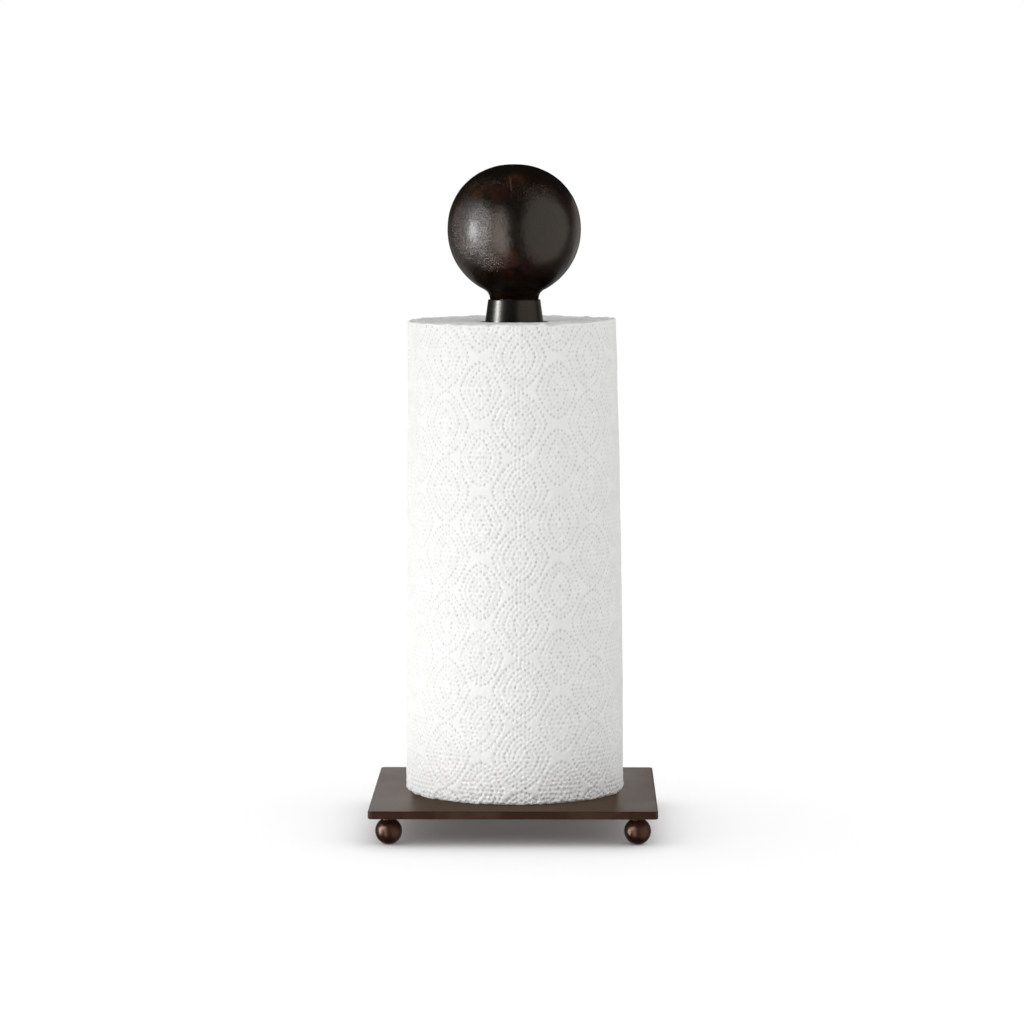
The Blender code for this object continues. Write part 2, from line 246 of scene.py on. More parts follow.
class Finish:
    """A node material built round one Principled shader."""

    def __init__(self, name, **settings):
        self.material = bpy.data.materials.new(name)
        self.material.use_nodes = True
        self.tree = self.material.node_tree
        self.shader = self.tree.nodes["Principled BSDF"]
        self.place = self.add("ShaderNodeTexCoord").outputs["Object"]
        for key, value in settings.items():
            self.shader.inputs[key.replace("_", " ")].default_value = value

    def add(self, kind, **settings):
        node = self.tree.nodes.new(kind)
        for key, value in settings.items():
            setattr(node, key, value)
        return node

    def set(self, socket, value):
        """Links a node's output to an input, or sets the input's own value."""
        if isinstance(value, bpy.types.NodeSocket):
            self.tree.links.new(value, socket)
        else:
            socket.default_value = value

    def shade(self, name, value):
        self.set(self.shader.inputs[name], value)

    def stretched(self, x, y, z):
        """The place on the piece with its axes scaled."""
        node = self.add("ShaderNodeMapping")
        self.set(node.inputs["Vector"], self.place)
        node.inputs["Scale"].default_value = (x, y, z)
        return node.outputs["Vector"]

    def noise(self, size, detail=3.0, roughness=0.5, place=None, distortion=0.0):
        """Noise from 0 to 1, with lumps about this size in metres."""
        node = self.add("ShaderNodeTexNoise")
        self.set(node.inputs["Vector"], place or self.place)
        node.inputs["Scale"].default_value = 1.0 / size
        node.inputs["Detail"].default_value = detail
        node.inputs["Roughness"].default_value = roughness
        node.inputs["Distortion"].default_value = distortion
        return node.outputs["Fac"]

    def stored(self, name):
        return self.add("ShaderNodeAttribute", attribute_name=name).outputs["Fac"]

    def spread(self, value, low, high, new_low=0.0, new_high=1.0):
        """Turns low to high into new_low to new_high, and cuts off what lies outside."""
        node = self.add("ShaderNodeMapRange", interpolation_type="SMOOTHSTEP")
        self.set(node.inputs["Value"], value)
        for name, number in (
            ("From Min", low),
            ("From Max", high),
            ("To Min", new_low),
            ("To Max", new_high),
        ):
            node.inputs[name].default_value = number
        return node.outputs["Result"]

    def maths(self, operation, first, second=0.0):
        node = self.add("ShaderNodeMath", operation=operation)
        self.set(node.inputs[0], first)
        self.set(node.inputs[1], second)
        return node.outputs[0]

    def blend(self, share, first, second):
        """From the first colour to the second as the share goes from 0 to 1."""
        node = self.add("ShaderNodeMix", data_type="RGBA")
        self.set(node.inputs["Factor"], share)
        for socket, value in ((node.inputs[6], first), (node.inputs[7], second)):
            self.set(socket, (*value, 1.0) if isinstance(value, tuple) else value)
        return node.outputs[2]

    def bump(self, height, depth, normal=None):
        """A relief this deep in metres where the height goes from 0 to 1."""
        node = self.add("ShaderNodeBump")
        self.set(node.inputs["Height"], height)
        node.inputs["Distance"].default_value = depth
        node.inputs["Strength"].default_value = 1.0
        if normal:
            self.set(node.inputs["Normal"], normal)
        return node.outputs["Normal"]


def paper_finish():
    """Soft white tissue with fine fibres, and painted shade: faint grey in the pits of the embossing and
    between the wound sheets on the end faces.
    """
    made = Finish("Towel_paper", Roughness=0.95, Specular_IOR_Level=0.25, Sheen_Weight=0.08)
    pit_shade = made.stored("pit_shade")
    end_face = made.stored("end_face")
    patch = made.spread(made.noise(9.0 * MM, 4.0), 0.3, 0.75)
    sheet = made.blend(patch, (0.845, 0.85, 0.835), (0.885, 0.885, 0.875))
    # Painted shade: the paper turns grey in the pits and grooves of the embossing.
    sheet = made.blend(made.spread(pit_shade, 0.15, 0.9, 0.0, 0.95), sheet, (0.62, 0.63, 0.60))
    fibre = made.noise(0.45 * MM, 5.0, 0.65)
    # Painted shade between the wound sheets: the end faces grow grey where the layer value is low.
    layers = made.spread(made.stored("layer_shade"), 0.25, 0.75)
    end = made.blend(layers, (0.62, 0.625, 0.61), (0.83, 0.835, 0.82))
    end = made.blend(made.spread(fibre, 0.35, 0.7, 0.0, 0.5), end, (0.88, 0.88, 0.87))
    made.shade("Base Color", made.blend(end_face, sheet, end))
    crepe = made.noise(1.3 * MM, 3.0, 0.6, made.stretched(1.0, 1.0, 0.6))
    normal = made.bump(crepe, 0.60 * MM)
    made.shade("Normal", made.bump(fibre, 0.04 * MM, normal))
    return made.material


def card_finish():
    """Grey-brown board with darker flecks and fibres."""
    made = Finish("Core_card", Roughness=0.9, Specular_IOR_Level=0.2)
    fleck = made.spread(made.noise(0.9 * MM, 6.0, 0.7), 0.55, 0.75)
    cloud = made.noise(14.0 * MM, 3.0)
    board = made.blend(cloud, (0.36, 0.27, 0.18), (0.47, 0.37, 0.26))
    made.shade("Base Color", made.blend(fleck, board, (0.25, 0.17, 0.11)))
    made.shade("Normal", made.bump(made.noise(0.5 * MM, 4.0), 0.04 * MM))
    return made.material


def plate_finish():
    """Dark reddish bronze with a satin coat, darker and redder on its sides and in a thin band along the
    top's edges. The top is set lighter than the sides, partly as a painted reflection of the paper on the
    strip in front of the roll.
    """
    made = Finish("Bronze_plate", Metallic=0.0, Specular_IOR_Level=0.22)
    cloud = made.noise(24.0 * MM, 5.0, 0.6)
    grain = made.noise(0.7 * MM, 4.0, 0.6)
    place = made.add("ShaderNodeSeparateXYZ")
    made.set(place.inputs[0], made.place)
    sideways = made.maths("ABSOLUTE", place.outputs["X"])
    outward = made.maths("MAXIMUM", sideways, made.maths("ABSOLUTE", place.outputs["Y"]))
    edge = made.spread(outward, PLATE_HIGH.x - 1.3 * MM, PLATE_HIGH.x - 0.2 * MM)
    # The top's colour: the bronze, set lighter, partly a painted reflection of the paper in front of the
    # roll.
    colour = made.blend(made.spread(cloud, 0.35, 0.7), (0.130, 0.078, 0.049), (0.158, 0.095, 0.058))
    # The sides and a thin band along the top's edges, broken up by the cloud, take the darker, redder colour.
    sides_and_edge_band = made.maths("MULTIPLY", edge, made.spread(cloud, 0.3, 0.6, 0.6, 1.0))
    made.shade("Base Color", made.blend(sides_and_edge_band, colour, (0.046, 0.017, 0.008)))
    made.shade("Roughness", made.spread(cloud, 0.3, 0.7, 0.36, 0.42))
    made.shade("Normal", made.bump(grain, 0.010 * MM))
    return made.material


def foot_finish():
    """Reddish bronze with darker patches and a rubbed sheen."""
    made = Finish("Bronze_foot", Metallic=0.0, Specular_IOR_Level=0.9, Specular_Tint=(1.0, 0.64, 0.52, 1.0))
    cloud = made.noise(5.0 * MM, 5.0, 0.65)
    speck = made.spread(made.noise(0.6 * MM, 5.0, 0.7), 0.6, 0.75)
    colour = made.blend(made.spread(cloud, 0.35, 0.65), (0.018, 0.007, 0.004), (0.042, 0.016, 0.010))
    made.shade("Base Color", made.blend(speck, colour, (0.022, 0.009, 0.006)))
    made.shade("Roughness", made.spread(cloud, 0.3, 0.7, 0.31, 0.38))
    made.shade("Normal", made.bump(made.noise(1.1 * MM, 4.0), 0.05 * MM))
    return made.material


def lacquer_finish():
    """Near-black bronze under clear lacquer, with amber and red where the dark coat is thin, and painted
    glints: pale gold flecks in the pitted areas.
    """
    made = Finish("Lacquered_bronze", Metallic=0.0, Specular_IOR_Level=0.2)
    height = made.add("ShaderNodeSeparateXYZ")
    made.set(height.inputs[0], made.place)
    clean = made.spread(height.outputs["Z"], BALL_LOW.z + 1.5 * MM, BALL_LOW.z + 5.0 * MM)
    facing = made.add("ShaderNodeLayerWeight").outputs["Facing"]
    gloss = made.maths("MULTIPLY", clean, made.spread(facing, 0.78, 0.92, 1.0, 0.05))
    made.shade("Coat Weight", gloss)
    made.shade("Specular IOR Level", made.maths("MULTIPLY", gloss, 0.2))
    made.shade("Coat Roughness", made.spread(made.stored("pitted"), 0.0, 1.0, 0.26, 0.13))
    made.shade("Coat IOR", 1.65)
    cloud = made.noise(11.0 * MM, 6.0, 0.62, distortion=0.6)
    dark = made.blend(made.spread(cloud, 0.35, 0.7), (0.0040, 0.0018, 0.0009), (0.0125, 0.0060, 0.0030))
    amber_cloud = made.spread(made.noise(5.0 * MM, 6.0, 0.65), 0.35, 0.75)
    amber = made.maths("MULTIPLY", made.stored("amber"), amber_cloud)
    red_cloud = made.spread(made.noise(6.0 * MM, 5.0, 0.6), 0.3, 0.7)
    red = made.maths("MULTIPLY", made.stored("red"), red_cloud)
    colour = made.blend(red, dark, (0.056, 0.009, 0.002))
    colour = made.blend(amber, colour, (0.095, 0.038, 0.008))
    # Painted glints: pale gold flecks in the pitted areas, where the pits' edges catch the light.
    speck = made.spread(made.noise(0.9 * MM, 3.0, 0.7), 0.56, 0.66)
    speck = made.maths("MULTIPLY", speck, made.stored("pitted"))
    colour = made.blend(speck, colour, (0.24, 0.15, 0.08))
    colour = made.blend(made.stored("scratch"), colour, (0.20, 0.13, 0.06))
    made.shade("Base Color", colour)
    made.shade("Roughness", made.spread(cloud, 0.3, 0.7, 0.28, 0.5))
    fine = made.maths("MULTIPLY", made.noise(1.2 * MM, 4.0, 0.65), made.stored("pitted"))
    coat_relief = made.bump(fine, 0.95 * MM)
    coat_relief = made.bump(made.noise(4.5 * MM, 3.0, 0.5), 0.20 * MM, coat_relief)
    made.shade("Normal", coat_relief)
    made.shade("Coat Normal", coat_relief)
    return made.material


def gunmetal_finish():
    """Dark turned steel with fine rings round the axis."""
    made = Finish("Gunmetal", Metallic=0.85, Specular_IOR_Level=0.5)
    rings = made.noise(0.35 * MM, 3.0, 0.6, made.stretched(0.02, 0.02, 1.0))
    cloud = made.noise(6.0 * MM, 4.0)
    made.shade("Base Color", made.blend(cloud, (0.052, 0.050, 0.047), (0.068, 0.066, 0.062)))
    made.shade("Roughness", made.spread(rings, 0.3, 0.7, 0.27, 0.33))
    made.shade("Normal", made.bump(rings, 0.006 * MM))
    return made.material


def steel_finish(name, light, dark, low, high, metallic):
    """Plain steel with faint stains and drawn lines along the axis."""
    made = Finish(name, Metallic=metallic)
    drawn = made.noise(0.5 * MM, 4.0, 0.6, made.stretched(1.0, 1.0, 0.03))
    cloud = made.noise(7.0 * MM, 5.0, 0.6)
    made.shade("Base Color", made.blend(cloud, dark, light))
    made.shade("Roughness", made.spread(drawn, 0.3, 0.7, low, high))
    made.shade("Normal", made.bump(drawn, 0.008 * MM))
    return made.material


def nylon_finish():
    """Milky moulded nylon with a fine grain."""
    made = Finish("Nylon", Subsurface_Weight=0.1, Subsurface_Scale=0.002)
    cloud = made.noise(3.0 * MM, 4.0)
    made.shade("Base Color", made.blend(cloud, (0.72, 0.70, 0.63), (0.82, 0.80, 0.74)))
    made.shade("Roughness", made.spread(cloud, 0.3, 0.7, 0.4, 0.55))
    made.shade("Normal", made.bump(made.noise(0.4 * MM, 3.0), 0.01 * MM))
    return made.material


# ---------------------------------------------------------------- towel roll


def roll_profile():
    """The roll's outline, from the hole's lower edge out, up, in and down again.

    Each row is (radius, height, distance up the outline, side share, top share).
    """
    bottom, top = ROLL_LOW.z, ROLL_HIGH.z
    rows = []
    low_r = ROLL_BOTTOM_R - ROLL_BOTTOM_EDGE
    for share in np.linspace(0.0, 1.0, 40, endpoint=False):
        radius = ROLL_HOLE_R + (low_r - ROLL_HOLE_R) * share
        rows.append((radius, bottom, bottom - (low_r - radius), 0.0, 0.0))
    edge_high = bottom + ROLL_BOTTOM_EDGE
    steps = round(ROLL_BOTTOM_EDGE * pi / 2.0 / ROLL_STEP)
    for share in np.linspace(0.0, 1.0, steps, endpoint=False):
        angle = share * pi / 2.0
        radius = low_r + ROLL_BOTTOM_EDGE * sin(angle)
        height = edge_high - ROLL_BOTTOM_EDGE * cos(angle)
        rows.append((radius, height, edge_high - (pi / 2.0 - angle) * ROLL_BOTTOM_EDGE, share, 0.0))
    edge_low = top - ROLL_TOP_EDGE
    steps = round((edge_low - edge_high) / ROLL_STEP)
    for height in np.linspace(edge_high, edge_low, steps, endpoint=False):
        rows.append((roll_radius(height), height, height, 1.0, 0.0))
    top_r = roll_radius(edge_low) - ROLL_TOP_EDGE
    for share in np.linspace(0.0, 1.0, 6, endpoint=False):
        angle = share * pi / 2.0
        radius = top_r + ROLL_TOP_EDGE * cos(angle)
        height = edge_low + ROLL_TOP_EDGE * sin(angle)
        rows.append((radius, height, edge_low + angle * ROLL_TOP_EDGE, 1.0 - share, share))
    for share in np.linspace(0.0, 1.0, 130, endpoint=False):
        radius = top_r + (ROLL_HOLE_R - top_r) * share
        rows.append((radius, top, top + (top_r - radius), 0.0, 1.0))
    for height in np.linspace(top, bottom, 30, endpoint=False):
        rows.append((ROLL_HOLE_R, height, top + top_r, 0.0, 0.0))
    return np.array(rows)


def roll_radius(height):
    share = (height - ROLL_LOW.z) / (ROLL_HIGH.z - ROLL_LOW.z)
    return ROLL_BOTTOM_R + (ROLL_TOP_R - ROLL_BOTTOM_R) * share + ROLL_BULGE * np.sin(pi * share)


def ring_of_pits(half_wide, half_high):
    """Evenly spaced places on one ring of a motif, from its middle."""
    angles = np.linspace(0.0, 2.0 * pi, 721)
    flat, point = RING_POWERS
    u = half_wide * np.sign(np.cos(angles)) * np.abs(np.cos(angles)) ** (2.0 / flat)
    v = half_high * np.sign(np.sin(angles)) * np.abs(np.sin(angles)) ** (2.0 / point)
    along = np.concatenate([[0.0], np.cumsum(np.hypot(np.diff(u), np.diff(v)))])
    count = max(4, 4 * round(along[-1] / PIT_SPACING / 4.0))
    places = np.arange(count) * along[-1] / count
    return np.stack([np.interp(places, along, u), np.interp(places, along, v)], axis=-1)


def motif_pits():
    """The pits of one repeat, as shares of it across and up, and how deep each is.

    The repeat holds one round motif, and one pointed motif half a step along and up.
    """
    period = np.array([MOTIF_WIDE * ROLL_BOTTOM_R, MOTIF_HIGH])
    kept, shares = np.zeros((0, 2)), []
    rings = [(size, 0.0, 1.0) for size in ROUND_RINGS]
    rings += [(size, 0.5, 1.0) for size in POINTED_RINGS]
    rings += [(size, 0.0, FAINT_DEPTH) for size in ROUND_FAINT_RINGS]
    rings += [(size, 0.5, FAINT_DEPTH) for size in POINTED_FAINT_RINGS]
    for size, middle, share in rings:
        for spot in ring_of_pits(size[0] * MM, size[1] * MM):
            place = (spot + middle * period) % period
            if is_clear(place, kept, period, PIT_CLEAR):
                kept = np.vstack([kept, place])
                shares.append(share)
    return kept / period, np.array(shares)


def is_clear(place, others, period, gap):
    """Whether a place in the repeat is at least the gap away from all the others."""
    if not len(others):
        return True
    apart = turn_gap(others - place, period)
    return np.hypot(apart[:, 0], apart[:, 1]).min() > gap


def turn_gap(distance, period):
    """The shortest distance, where the pattern repeats after the period."""
    return (distance + period / 2.0) % period - period / 2.0


def all_pits():
    """Angle, height, size and depth of every pit on the outer sheet, each a little off its true place."""
    chance = np.random.default_rng(11)
    repeats, shares = motif_pits()
    angles, heights, depths = [], [], []
    for column, row in itertools.product(range(-6, 7), range(-8, 4)):
        angles.append(MOTIF_ANGLE + (column + repeats[:, 0]) * MOTIF_WIDE)
        heights.append(MOTIF_HEIGHT + (row + repeats[:, 1]) * MOTIF_HIGH)
        depths.append(shares)
    angles, heights, depths = np.concatenate(angles), np.concatenate(heights), np.concatenate(depths)
    angles += chance.normal(0.0, PIT_STRAY / ROLL_TOP_R, len(angles))
    heights += chance.normal(0.0, PIT_STRAY, len(heights))
    depths *= chance.uniform(0.7, 1.0, len(angles))
    sizes = chance.uniform(0.85, 1.15, len(angles))
    round_once = (angles > TAIL_ANGLE - 2.0 * pi) & (angles < TAIL_ANGLE)
    in_height = (heights > ROLL_LOW.z - 2.0 * GROOVE_R) & (heights < ROLL_HIGH.z + 2.0 * GROOVE_R)
    inside = round_once & in_height
    return angles[inside], heights[inside], sizes[inside], depths[inside]


def pressed_field(profile, columns):
    """How deep the pits and the grooves between them are, 0 to 1, for each row and column."""
    up = profile[:, 2]
    pits = np.zeros((len(up), columns))
    grooves = np.zeros((len(up), columns))
    column_step = 2.0 * pi / columns
    reach = 2.0 * GROOVE_R
    side_rows = np.flatnonzero(profile[:, 3] > 0.0)
    angles, heights, sizes, depths = all_pits()
    middle_row = np.searchsorted(up[side_rows], heights) + side_rows[0]
    middle_column = np.round((angles + pi / 2.0) / column_step).astype(int)
    row_reach = int(reach / ROLL_STEP) + 1
    column_reach = int(reach / (column_step * ROLL_TOP_R)) + 1
    near = itertools.product(range(-row_reach, row_reach + 1), range(-column_reach, column_reach + 1))
    for down, across in near:
        rows = np.clip(middle_row + down, side_rows[0], side_rows[-1])
        these = (middle_column + across) % columns
        sideways = ((middle_column + across) * column_step - pi / 2.0 - angles) * ROLL_TOP_R
        upward = up[rows] - heights
        pit = np.hypot(sideways / PIT_WIDE, upward / PIT_HIGH) / sizes
        np.maximum.at(pits, (rows, these), depths * np.exp(-(pit**2)))
        groove = np.hypot(sideways, upward) / GROOVE_R
        np.maximum.at(grooves, (rows, these), depths * np.exp(-(groove**2)))
    return pits, grooves


def rim_height(angles):
    """How far the top edge stands above its nominal height, by the angle from the front."""
    rise = 0.45 * rough_noise(upright_points(ROLL_TOP_R, angles), 4.5 * MM, 55, 3)
    for middle, wide, high in RIM_WAVES:
        rise = rise + high * hump(turn_from(angles, radians(middle)), 0.0, radians(wide))
    return rise * MM


def upright_points(radius, angles):
    """Points on a level circle, by the angle from +Y towards +X."""
    return np.stack([radius * np.sin(angles), radius * np.cos(angles), 0.0 * angles], axis=-1)


def side_relief(profile, turn, place, pits, grooves):
    """Embossing, crepe and slack of the outer sheet, and the lumps along its top and bottom edges."""
    radius, _, up, side, _ = profile.T
    puff = 1.3 + 0.8 * (1.0 - soft_step(up, ROLL_LOW.z + 4.0 * MM, ROLL_LOW.z + 34.0 * MM))
    relief = -PIT_DEPTH * pits - GROOVE_DEPTH * grooves * puff[:, None]
    relief += CREPE[1] * rough_noise(place, CREPE[0], 21, 3)
    relief += SLACK[1] * noise(place, SLACK[0], 31)
    relief *= side[:, None]
    low_edge = hump(up, ROLL_LOW.z + 1.0 * MM, 4.0 * MM) * (radius > ROLL_BOTTOM_R - 8.0 * MM)
    relief += low_edge[:, None] * LOW_EDGE_LUMPS[1] * noise(place, LOW_EDGE_LUMPS[0], 41)
    top_edge = hump(up, ROLL_HIGH.z, 5.0 * MM)
    relief += top_edge[:, None] * TOP_EDGE_LUMPS[1] * rough_noise(place, TOP_EDGE_LUMPS[0], 51, 3)
    curl = hump(turn_from(turn, CURL_ANGLE), 0.0, CURL_WIDE) * hump(up, ROLL_HIGH.z, 3.5 * MM)[:, None]
    return relief + CURL_OUT * curl


def tail_relief(profile, turn):
    """The step at the last sheet's free edge, and the perforated line one sheet back from it."""
    _, _, up, side, _ = profile.T
    behind = (TAIL_ANGLE - turn_from(turn, 0.0)) % (2.0 * pi)  # angle round the roll back from the free edge
    along = behind * ROLL_TOP_R
    lift = SHEET_THICK * (1.0 - behind / (2.0 * pi))
    free = TAIL_LIFT * np.exp(-along / TAIL_FADE)
    slit = hump(along, SHEET_LONG, SLIT_WIDE) * (np.sin(up[:, None] * 2.0 * pi / SLIT_PITCH) > -0.5)
    return (lift + free - SLIT_DEPTH * slit) * side[:, None] - 0.5 * SHEET_THICK


def wound_layers(profile, turn):
    """The wound sheets on the end faces, from 0 to 1: fine rings that wander a little."""
    winding = profile[:, :1] / LAYER_STEP - turn / (2.0 * pi)
    streaks = np.broadcast_arrays(winding, np.sin(turn) * 7.0, np.cos(turn) * 7.0)
    return 0.5 + 0.5 * rough_noise(np.stack(streaks, axis=-1), 1.0, 61, 2)


def rim_and_dip(profile, turn):
    """How far each point is raised by the uneven rim, or lowered by the dip round the core."""
    radius, height, _, side, top = profile.T
    share_out = np.clip((radius - ROLL_HOLE_R) / (ROLL_TOP_R - ROLL_HOLE_R), 0.0, 1.0)
    rim_share = top * share_out**2.5 + side * soft_step(height, ROLL_HIGH.z - 14.0 * MM, ROLL_HIGH.z)
    near_top = soft_step(height, ROLL_HIGH.z - 12.0 * MM, ROLL_HIGH.z)
    dip = -HOLE_DIP * near_top * (1.0 - soft_step(radius, ROLL_HOLE_R, ROLL_HOLE_R + HOLE_DIP_WIDE))
    return rim_height(turn_from(turn, 0.0)) * np.clip(rim_share, 0.0, 1.0)[:, None] + dip[:, None]


def make_roll():
    """The wound towel: embossed side, puffed lower edge, uneven rim and wound end faces."""
    profile = roll_profile()
    radius, height, up, side, top = profile.T
    turn = (around(ROLL_COLUMNS) - pi / 2.0)[None, :]  # from the front towards +X
    east, north = np.sin(turn), -np.cos(turn)
    flat = np.broadcast_arrays(radius[:, None] * east, radius[:, None] * north, up[:, None])
    place = np.stack(flat, axis=-1)

    pits, grooves = pressed_field(profile, ROLL_COLUMNS)
    layers = wound_layers(profile, turn)
    relief = side_relief(profile, turn, place, pits, grooves) + tail_relief(profile, turn)
    ends = LAYER_DEPTH * (layers - 0.5) + END_FUZZ[1] * rough_noise(place, END_FUZZ[0], 71, 3)
    relief += ends * top[:, None]

    # Outward direction of each row
    d_radius = np.gradient(radius)
    d_height = np.gradient(height)
    size = np.hypot(d_radius, d_height) + 1e-12
    out_r, out_z = d_height / size, -d_radius / size

    full_r = radius[:, None] + relief * out_r[:, None]
    full_z = height[:, None] + relief * out_z[:, None] + rim_and_dip(profile, turn)
    share_out = np.clip((radius - ROLL_HOLE_R) / (ROLL_TOP_R - ROLL_HOLE_R), 0.0, 1.0)
    share_up = np.clip((height - ROLL_LOW.z) / (ROLL_HIGH.z - ROLL_LOW.z), 0.0, 1.0)
    shift = -ROLL_LEAN * share_up**2.4 * share_out
    x, y = full_r * east + shift[:, None], full_r * north
    points = np.stack([x, y, np.maximum(full_z, ROLL_LOW.z)], axis=-1)

    obj = ring_mesh("wound_towel", points, closed=True)
    # Painted shade for the paper's colour: deepest in the pits, fainter in the grooves beside them.
    store(obj, "pit_shade", np.maximum(pits, GROOVE_SHADE_SHARE * grooves) * side[:, None])
    store(obj, "end_face", np.repeat(soft_step(top, 0.5, 1.0)[:, None], ROLL_COLUMNS, axis=1))
    # Painted shade between the wound sheets, for the end faces' colour.
    store(obj, "layer_shade", layers)
    return finish_piece(obj, paper_finish(), "roll", "towel_paper", "towel_roll")


def make_core():
    """The card tube: a spiral seam, and a slightly frayed top."""
    inner, outer = CORE_HIGH.x - CARD_THICK, CORE_HIGH.x
    profile = lines(
        (inner, CORE_LOW.z),
        (outer, CORE_LOW.z),
        (outer, CORE_HIGH.z),
        (inner, CORE_HIGH.z),
        (inner, CORE_LOW.z),
        step=1.2 * MM,
    )
    angles = around(240)
    points = turned_points(profile, angles)
    seam = np.sin(angles[None, :] + points[..., 2] * 2.0 * pi / SEAM_PITCH)
    groove = hump(seam, 1.0, 0.0006)
    at_top = points[..., 2] > CORE_HIGH.z - 0.1 * MM
    frayed = noise(points, 1.3 * MM, 81)
    points[..., :2] *= (1.0 - 0.008 * groove)[..., None]
    points[..., 2] -= (0.45 + 0.12 * frayed) * MM * at_top
    obj = ring_mesh("card_core", points, closed=True)
    return finish_piece(obj, card_finish(), "roll", "core_card", "roll_core")


# ---------------------------------------------------------------- finial

BALL_R = (BALL_HIGH.x - BALL_LOW.x) / 2.0
BALL_CROWN = 38.1 * MM
BALL_MIDDLE = BALL_HIGH.z - BALL_CROWN
BALL_POWER = 2.1
NECK_R = 14.2 * MM
NECK_FILLET = 6.0 * MM
BALL_WALL = 2.0 * MM
COLLAR_TOP_R = 15.25 * MM
THREAD_PITCH = 1.5 * MM
THREAD_DEPTH = 0.92 * MM


def ball_profile():
    """The ball's outline: from the inner crown down to the neck's lip, and up the outside."""
    inner_r = BALL_R - BALL_WALL
    mouth_r = NECK_R - BALL_WALL
    mouth = asin(mouth_r / inner_r)
    inside = arc((0.0, BALL_MIDDLE), inner_r, pi / 2.0, mouth - pi / 2.0, 40)
    neck_angle = asin((NECK_R + NECK_FILLET) / (BALL_R + NECK_FILLET))
    fillet_z = BALL_MIDDLE - (BALL_R + NECK_FILLET) * cos(neck_angle)
    lip = [(mouth_r, BALL_LOW.z), (NECK_R, BALL_LOW.z)]
    fillet = arc((NECK_R + NECK_FILLET, fillet_z), NECK_FILLET, pi, pi / 2.0 + neck_angle, 14)
    bowl = arc((0.0, BALL_MIDDLE), BALL_R, neck_angle - pi / 2.0, 0.0, 110)
    crown = []
    for k in range(1, 150):
        angle = k * pi / 2.0 / 150
        radius = BALL_R * cos(angle) ** (2.0 / BALL_POWER)
        crown.append((radius, BALL_MIDDLE + BALL_CROWN * sin(angle) ** (2.0 / BALL_POWER)))
    crown.append((0.0, BALL_HIGH.z))
    inside[0] = (0.0, inside[0][1])
    return inside + lip + fillet[1:] + bowl[1:] + crown, len(inside) + len(lip)


def on_ball(azimuth, elevation):
    """A direction from the ball's middle, by degrees from the front towards +X, and up."""
    turn, lift = radians(azimuth), radians(elevation)
    return np.array([sin(turn) * cos(lift), -cos(turn) * cos(lift), sin(lift)])


def patch(direction, azimuth, elevation, wide, high):
    """1 at a place on the ball, falling off over the patch's size in degrees."""
    middle = on_ball(azimuth, elevation)
    side = np.array([cos(radians(azimuth)), sin(radians(azimuth)), 0.0])
    above = np.cross(middle, side)
    across = direction @ side / sin(radians(wide))
    up = direction @ above / sin(radians(high))
    return np.exp(-(across**2) - up**2) * (direction @ middle > 0.0)


# Patches on the ball: azimuth, elevation, width and height in degrees, and strength
AMBER = (
    (-42, 36, 12, 9, 1.0),
    (4, 52, 7, 6, 0.8),
    (-4, -22, 8, 9, 0.6),
    (-64, 8, 7, 24, 0.5),
    (150, 10, 22, 26, 0.8),
)
RED = (
    (-14, 34, 15, 9, 0.7),
    (6, 50, 10, 8, 1.0),
    (0, -28, 16, 11, 1.3),
    (-52, -12, 13, 20, 0.8),
    (68, 14, 8, 16, 0.5),
    (-160, -5, 30, 24, 0.9),
)
PITTED = (
    (-40, 4, 20, 24, 1.0),
    (28, 38, 16, 8, 0.9),
    (-22, -30, 14, 9, 1.0),
    (-25, 47, 24, 8, 0.7),
    (-60, 0, 12, 30, 0.8),
    (120, 20, 26, 26, 0.7),
    (-120, 5, 30, 30, 0.8),
)
HIGHLIGHT_SPOT = (-37, 1, 8, 15)  # where the lacquer is less pitted, among the pits
SMOOTH_SPOT = (38, 3, 26, 34)  # where the metal is less dented
DENTS = (9.0 * MM, 0.18 * MM)  # size and depth
POCKS = (1.5 * MM, 0.13 * MM)


def patches(direction, wanted):
    total = sum(weight * patch(direction, *place) for *place, weight in wanted)
    return np.clip(total, 0.0, 1.0)


def scratch_on(direction):
    """1 along the one fine upright scratch high on the front of the ball."""
    side = np.cross(on_ball(-6, 45) + 0.03 * on_ball(84, 0), on_ball(-2, 36))
    gap = np.abs(direction @ side / 0.16) * BALL_R
    return 0.6 * hump(gap, 0.0, 0.3 * MM) * (direction @ on_ball(-6, 44) > cos(radians(9)))


def make_ball():
    """The lacquered ball: slightly uneven, with pitted and rubbed areas."""
    profile, outer_from = ball_profile()
    angles = around(512)
    points = turned_points(profile, angles)
    middle = np.array([0.0, 0.0, BALL_MIDDLE])
    direction = points - middle
    direction /= np.linalg.norm(direction, axis=-1, keepdims=True)
    pitted = patches(direction, PITTED) * (1.0 - 0.8 * patch(direction, *HIGHLIGHT_SPOT))
    smooth_part = 1.0 - 0.6 * patch(direction, *SMOOTH_SPOT)
    outer = (np.arange(len(profile)) >= outer_from)[:, None]
    outer = outer * soft_step(points[..., 2], BALL_LOW.z, BALL_LOW.z + 5.0 * MM)
    dents = 0.5 + 0.5 * rough_noise(points, DENTS[0], 5, 2)
    pocks = 0.5 + 0.5 * rough_noise(points, POCKS[0], 9, 2)
    relief = -(DENTS[1] * dents * smooth_part + POCKS[1] * pocks * pitted + 0.015 * MM * pocks)
    points += direction * (relief * outer)[..., None]
    obj = ring_mesh("lacquered_ball", points, closed=False)
    store(obj, "amber", patches(direction, AMBER))
    store(obj, "red", patches(direction, RED))
    store(obj, "pitted", pitted)
    store(obj, "scratch", scratch_on(direction))
    close_poles(obj)
    obj.data.set_sharp_from_angle(angle=radians(50))
    return finish_piece(obj, lacquer_finish(), "finial", "lacquered_bronze", "finial_ball")


